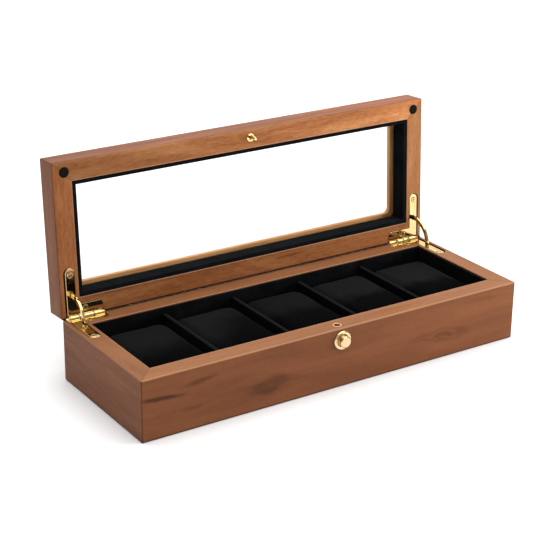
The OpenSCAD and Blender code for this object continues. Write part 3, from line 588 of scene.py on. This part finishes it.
# The metal, the bevel in millimetres and its steps of each metal node, but for the spring
METAL_NODES = {
    "left_base_leaf": ("gold_leaf", 0.38, 3), "right_base_leaf": ("gold_leaf", 0.38, 3),
    "left_lid_leaf": ("gold_lid_leaf_dimmed", 0.38, 3), "right_lid_leaf": ("gold_lid_leaf_dimmed", 0.38, 3),
    "left_hinge_pin": ("gold_leaf", 0.15, 2), "right_hinge_pin": ("gold_leaf", 0.15, 2),
    "left_stay": ("gold_leaf", 0.22, 3), "right_stay": ("gold_leaf", 0.22, 3),
    "base_hinge_screws": ("gold_small", 0.16, 2), "lid_hinge_screws": ("gold_small", 0.16, 2),
    "rim_ferrule": ("gold_ferrule", 0.12, 2), "catch_stud": ("gold_small", 0.12, 2),
    "lock_bezel": ("gold_bezel", 0.20, 3), "push_button": ("gold_button", 0.22, 3),
    "lock_housing": ("gold_inside", 0.0, 2), "latch_hook": ("gold_inside", 0.10, 2)}


def dress_metal():
    metals = {name: polished_metal(name, *look) for name, look in METALS.items()}
    for name, (metal, bevel, segments) in METAL_NODES.items():
        finish_node(name, metals[metal], bevel * MM, segments, clamp="leaf" not in name)
    add_spring(metals["spring_steel"])


SPRING_WIRE = 0.2 * MM
SPRING_TURNS = 2.5
SPRING_STEPS = 24
WIRE_SIDES = 10


def add_spring(material):
    """The return spring behind the button, of coiled wire."""
    low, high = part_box("lock_spring")
    middle = (low + high) / 2
    radius = (high.x - low.x) / 2 - SPRING_WIRE
    start, end = low.y + SPRING_WIRE, high.y - SPRING_WIRE
    steps = int(SPRING_TURNS * SPRING_STEPS)
    bm = bmesh.new()
    rings = []
    for step in range(steps + 1):
        turn = math.tau * step / SPRING_STEPS
        along = start + (end - start) * step / steps
        ring = []
        for side in range(WIRE_SIDES):
            around = math.tau * side / WIRE_SIDES
            reach = radius + SPRING_WIRE * math.cos(around)
            ring.append(bm.verts.new((middle.x + reach * math.cos(turn),
                                      along + SPRING_WIRE * math.sin(around),
                                      middle.z + reach * math.sin(turn))))
        rings.append(ring)
    for ring, following in zip(rings, rings[1:]):
        for side in range(WIRE_SIDES):
            other = (side + 1) % WIRE_SIDES
            bm.faces.new((ring[side], ring[other], following[other], following[side]))
    bm.faces.new(rings[0])
    bm.faces.new(rings[-1])
    bmesh.ops.recalc_face_normals(bm, faces=bm.faces)
    spring = add_mesh("return_spring", bm)
    for face in spring.data.polygons:
        face.use_smooth = len(face.vertices) == 4
    spring.data.materials.append(material)
    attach(spring, "base")
    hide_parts("lock_spring")
    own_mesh(spring)


def dress_rest():
    finish_node("glass_pane", clear_glass("window_glass"))
    finish_node("lid_bumpers", rubber("bumper_rubber"), BUMPER_ROUNDING, 3)


# ---------------------------------------------------------------- cushions

CUSHION_VOXEL = 4.0 * MM
CLOTH_SETTINGS = {
    "quality": 5, "mass": 0.3, "tension_stiffness": 12, "compression_stiffness": 12,
    "bending_stiffness": 0.6, "use_pressure": True, "uniform_pressure_force": 4.0}
CLOTH_FRAMES = 20
# The cushion's start is this much smaller all round, and no point swells further than the cap
SHRINK = 0.4 * MM
SWELL_CAP = 1.5 * MM
# How much of a cushion's edges is rounded: towards its ends, and its roll above and at its foot
END_ROUND = 6.0 * MM
TOP_ROLL = 12.0 * MM
FOOT_ROLL = 4.0 * MM
LONG_CROWN = 1.0 * MM
CROSS_CROWN = 1.0 * MM
# How far each side of a cushion is drawn in halfway between its corners
SIDE_PULL = 0.9 * MM
# The seam round each side panel: its distance from the side, its half width and its depth
SEAM = (2.6 * MM, 1.1 * MM, 0.45 * MM)
# Wrinkles start at the foot and are whole from this height
WRINKLE_RISE = 6 * MM


def rolled_box(bm, low, high):
    """Grid box whose front and back edges are rolled, the upper ones more than the lower ones."""
    middle = (low + high) / 2
    half = (high - low) / 2
    bmesh.ops.create_cube(bm, size=2)
    bmesh.ops.subdivide_edges(bm, edges=bm.edges[:], cuts=13, use_grid_fill=True)
    for v in bm.verts:
        p = Vector((v.co.x * half.x, v.co.y * half.y, v.co.z * half.z))
        roll = TOP_ROLL if p.z > 0 else FOOT_ROLL
        radii = Vector((END_ROUND, roll, roll))
        core = Vector([max(r - h, min(h - r, c)) for c, h, r in zip(p, half, radii)])
        scaled = Vector([(c - k) / r for c, k, r in zip(p, core, radii)])
        if scaled.length > 1e-9:
            p = core + scaled.normalized() * radii
        v.co = middle + p


def inside_profile(co, low, high):
    """The nearest place to co in the cushion's own room: its box, rolled edges and crown."""
    middle = (low + high) / 2
    half = (high - low) / 2
    u = min(1.0, abs(co.x - middle.x) / half.x)
    w = min(1.0, abs(co.y - middle.y) / half.y)
    reach_x = half.x - SIDE_PULL * (1 - w * w)
    reach_y = half.y - SIDE_PULL * (1 - u * u)
    x = min(max(co.x, middle.x - reach_x), middle.x + reach_x)
    y = min(max(co.y, middle.y - reach_y), middle.y + reach_y)
    z = min(max(co.z, low.z), high.z - LONG_CROWN * w * w - CROSS_CROWN * u * u)
    rolls = ((TOP_ROLL, high.z - TOP_ROLL, 1), (FOOT_ROLL, low.z + FOOT_ROLL, -1))
    for roll, centre_z, way in rolls:
        to_y = abs(y - middle.y) - (reach_y - roll)
        to_z = (z - centre_z) * way
        reach = math.hypot(to_y, to_z)
        if to_y > 0 and to_z > 0 and reach > roll:
            y = middle.y + math.copysign(reach_y - roll + to_y * roll / reach, y - middle.y)
            z = centre_z + way * to_z * roll / reach
    return Vector((x, y, z))


def inflate(obj):
    """Blows the cushion up with cloth pressure, keeps each point near its start, and applies it."""
    start = [v.co.copy() for v in obj.data.vertices]
    cloth = obj.modifiers.new("Cloth", "CLOTH")
    for key, value in CLOTH_SETTINGS.items():
        setattr(cloth.settings, key, value)
    cloth.settings.effector_weights.gravity = 0
    cloth.collision_settings.use_collision = False
    scene = bpy.context.scene
    for number in range(1, CLOTH_FRAMES + 1):
        scene.frame_set(number)
    blown = obj.evaluated_get(bpy.context.evaluated_depsgraph_get())
    ends = [v.co.copy() for v in blown.data.vertices]
    obj.modifiers.remove(cloth)
    scene.frame_set(1)
    for v, before, after in zip(obj.data.vertices, start, ends):
        step = after - before
        if step.length > SWELL_CAP:
            step *= SWELL_CAP / step.length
        v.co = before + step


def apply_all(obj):
    """Puts what the object's modifiers make into its own mesh."""
    graph = bpy.context.evaluated_depsgraph_get()
    graph.update()
    made = bpy.data.meshes.new_from_object(obj.evaluated_get(graph))
    old = obj.data
    obj.modifiers.clear()
    obj.data = made
    bpy.data.meshes.remove(old)


def crease(co, seed, middle, half):
    """Soft wrinkles of the cover, deeper near the ends of the cushion."""
    w = abs(co.y - middle.y) / half.y
    wave = noise.noise(Vector((co.x * 70 + seed * 3.1, co.y * 34, co.z * 60 + seed)))
    fine = noise.noise(Vector((co.x * 190 + seed, co.y * 120, co.z * 190)))
    return (0.42 * wave * (0.35 + 0.65 * w * w) + 0.12 * fine) * MM


def add_cushion(number, material, fold=None):
    """A stuffed cushion that stands for the plain one, and lifts out of its cell."""
    name = f"watch_cushion_{number}"
    low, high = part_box(name)
    shrink = Vector((SHRINK, SHRINK, SHRINK))
    bm = bmesh.new()
    rolled_box(bm, low + shrink, high - shrink)
    pillow = add_mesh(f"pillow_{number}", bm)
    remesh = pillow.modifiers.new("Remesh", "REMESH")
    remesh.mode = "VOXEL"
    remesh.voxel_size = CUSHION_VOXEL
    apply_all(pillow)
    inflate(pillow)
    smooth = pillow.modifiers.new("Subdivision", "SUBSURF")
    smooth.levels = smooth.render_levels = 1
    apply_all(pillow)
    shape_cover(pillow, number, low, high, fold)
    for face in pillow.data.polygons:
        face.use_smooth = True
    pillow.data.materials.clear()
    pillow.data.materials.append(material)
    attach(pillow, f"cushion_{number}")
    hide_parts(name)


def shape_cover(pillow, number, low, high, fold):
    """Seams round both side panels, wrinkles and one fold, kept in the cushion's own room."""
    middle = (low + high) / 2
    half = (high - low) / 2
    pillow.data.update()
    normals = [v.normal.copy() for v in pillow.data.vertices]
    inset, width, depth = SEAM
    for v, normal in zip(pillow.data.vertices, normals):
        co = inside_profile(v.co, low, high)
        side = abs(co.x - middle.x)
        on_flank = 1 - abs(normal.x)
        groove = math.exp(-((side - half.x + inset) / width) ** 2) * on_flank
        lift = max(0.0, min(1.0, (co.z - low.z) / WRINKLE_RISE))
        push = crease(co, number, middle, half) * lift - depth * groove
        if fold:
            push -= fold_depth(co, *fold)
        v.co = inside_profile(co + normal * push, low, high)


def fold_depth(co, start, end, width, depth):
    """Depth of a soft fold that runs along the line from start to end, seen from above."""
    line = Vector((end[0] - start[0], end[1] - start[1]))
    to = Vector((co.x - start[0], co.y - start[1]))
    share = max(0.0, min(1.0, to.dot(line) / line.length_squared))
    away = (to - line * share).length
    fade = math.sin(math.pi * min(max(share, 0.04), 0.96))
    return depth * fade * math.exp(-(away / width) ** 2)


# Where painted sheen lightens each cushion's top: its lean, its soft border and its strength
SHEEN_PATCHES = (((-0.15, 0.90), -0.55, 0.35, 0.85), ((-0.45, 0.80), -0.40, 0.55, 1.05),
           ((0.05, 1.00), -0.25, 0.25, 0.70), ((-0.05, 1.00), -0.30, 0.15, 0.90),
           ((0.15, 0.98), -0.42, 0.05, 1.15))
# Folds by the cushion's number: where the fold starts and ends seen from above, width and depth
FOLDS = {5: ((0.118, 0.006), (0.136, -0.022), 3.2 * MM, 0.9 * MM)}


def add_cushions():
    for number, sheen_look in enumerate(SHEEN_PATCHES, 1):
        low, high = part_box(f"watch_cushion_{number}")
        lit = painted_sheen_patch((low + high) / 2, (high - low) / 2, *sheen_look)
        cover = velvet(f"velvet_cushion_{number}", *CUSHION_PILE, CUSHION_SEED + number,
                       CUSHION_SHEEN, lit)
        add_cushion(number, cover, FOLDS.get(number))


# ---------------------------------------------------------------- studio

FLOOR_SIZE = 20
FLOOR_DROP = 0.02 * MM
FLOOR_TONES = ((0.82, 0.82, 0.82), (0.84, 0.84, 0.84))
SWEEP_RADIUS = 8
SWEEP_HEIGHT = 12
# The world's light grows towards WORLD_WAY, between two shares of that direction
WORLD_WAY = (0.30, 0.88, 0.36)
WORLD_LEVELS = {"From Min": 0.2, "From Max": 0.9, "To Min": 0.38, "To Max": 1.25}
SKY_WAY = Vector((-0.15, 0.08, -1.0))
SKY_STRENGTH = 3.1
SKY_SPREAD = math.radians(75)
SOFTBOX_PLACE = Vector((0.62, -0.48, 0.17))
SOFTBOX_AIM = Vector((0.10, 0.03, 0.10))
SOFTBOX_SIZE = (0.40, 0.24)
SOFTBOX_POWER = 4.2


def add_light(name, kind, way, power):
    """A light that shines along way."""
    data = bpy.data.lights.new(name, kind)
    data.energy = power
    light = bpy.data.objects.new(name, data)
    light.rotation_mode = "QUATERNION"
    light.rotation_quaternion = way.to_track_quat("-Z", "Y")
    bpy.context.scene.collection.objects.link(light)
    return light


def add_floor():
    """Plain pale floor, just under the box's feet."""
    bm = bmesh.new()
    bmesh.ops.create_grid(bm, x_segments=8, y_segments=8, size=FLOOR_SIZE)
    floor = add_mesh("floor", bm)
    floor.location.z = CAD_BOX[0].z - FLOOR_DROP
    tree = Tree("pale_floor")
    tree.set(Base_Color=tree.mix(tree.noise(tree.place, (0.4, 0.4, 0.4), 2), *FLOOR_TONES),
             Roughness=0.9, Specular_IOR_Level=0.1)
    floor.data.materials.append(tree.material)


def add_backdrop():
    """White sweep far behind the floor, which the camera meets in low views; it lights nothing."""
    bm = bmesh.new()
    bmesh.ops.create_cone(bm, cap_ends=False, segments=96, radius1=SWEEP_RADIUS,
                          radius2=SWEEP_RADIUS, depth=SWEEP_HEIGHT)
    sweep = add_mesh("backdrop", bm)
    sweep.location.z = CAD_BOX[0].z
    sweep.visible_diffuse = sweep.visible_glossy = sweep.visible_shadow = False
    tree = Tree("white_sweep")
    tree.set(Base_Color=(0, 0, 0, 1), Specular_IOR_Level=0.0, Roughness=1.0,
             Emission_Color=(1, 1, 1, 1), Emission_Strength=1.0)
    tree.material.cycles.emission_sampling = "NONE"
    sweep.data.materials.append(tree.material)


def add_world():
    """Soft room light that is brighter towards the back, like a white sweep behind the table."""
    world = bpy.data.worlds.new("studio")
    world.use_nodes = True
    nodes, links = world.node_tree.nodes, world.node_tree.links
    place = nodes.new("ShaderNodeTexCoord")
    facing = nodes.new("ShaderNodeVectorMath")
    facing.operation = "DOT_PRODUCT"
    facing.inputs[1].default_value = WORLD_WAY
    levels = nodes.new("ShaderNodeMapRange")
    levels.interpolation_type = "SMOOTHSTEP"
    for key, value in WORLD_LEVELS.items():
        levels.inputs[key].default_value = value
    links.new(place.outputs["Generated"], facing.inputs[0])
    links.new(facing.outputs["Value"], levels.inputs["Value"])
    links.new(levels.outputs[0], nodes["Background"].inputs["Strength"])
    nodes["Background"].inputs["Color"].default_value = (1, 1, 1, 1)
    bpy.context.scene.world = world


def add_studio():
    """The world, its backdrop, a soft sky and a softbox that no reflection shows."""
    add_world()
    add_backdrop()
    sky = add_light("sky_light", "SUN", SKY_WAY, SKY_STRENGTH)
    sky.data.angle = SKY_SPREAD
    softbox = add_light("softbox_right", "AREA", SOFTBOX_AIM - SOFTBOX_PLACE, SOFTBOX_POWER)
    softbox.location = SOFTBOX_PLACE
    softbox.data.shape = "RECTANGLE"
    softbox.data.size, softbox.data.size_y = SOFTBOX_SIZE
    softbox.visible_camera = softbox.visible_glossy = False
    bpy.context.scene.view_settings.view_transform = "Standard"


# ---------------------------------------------------------------- making

add_camera()
add_floor()
add_studio()
dress_wood()
dress_velvet()
dress_metal()
dress_rest()
add_cushions()
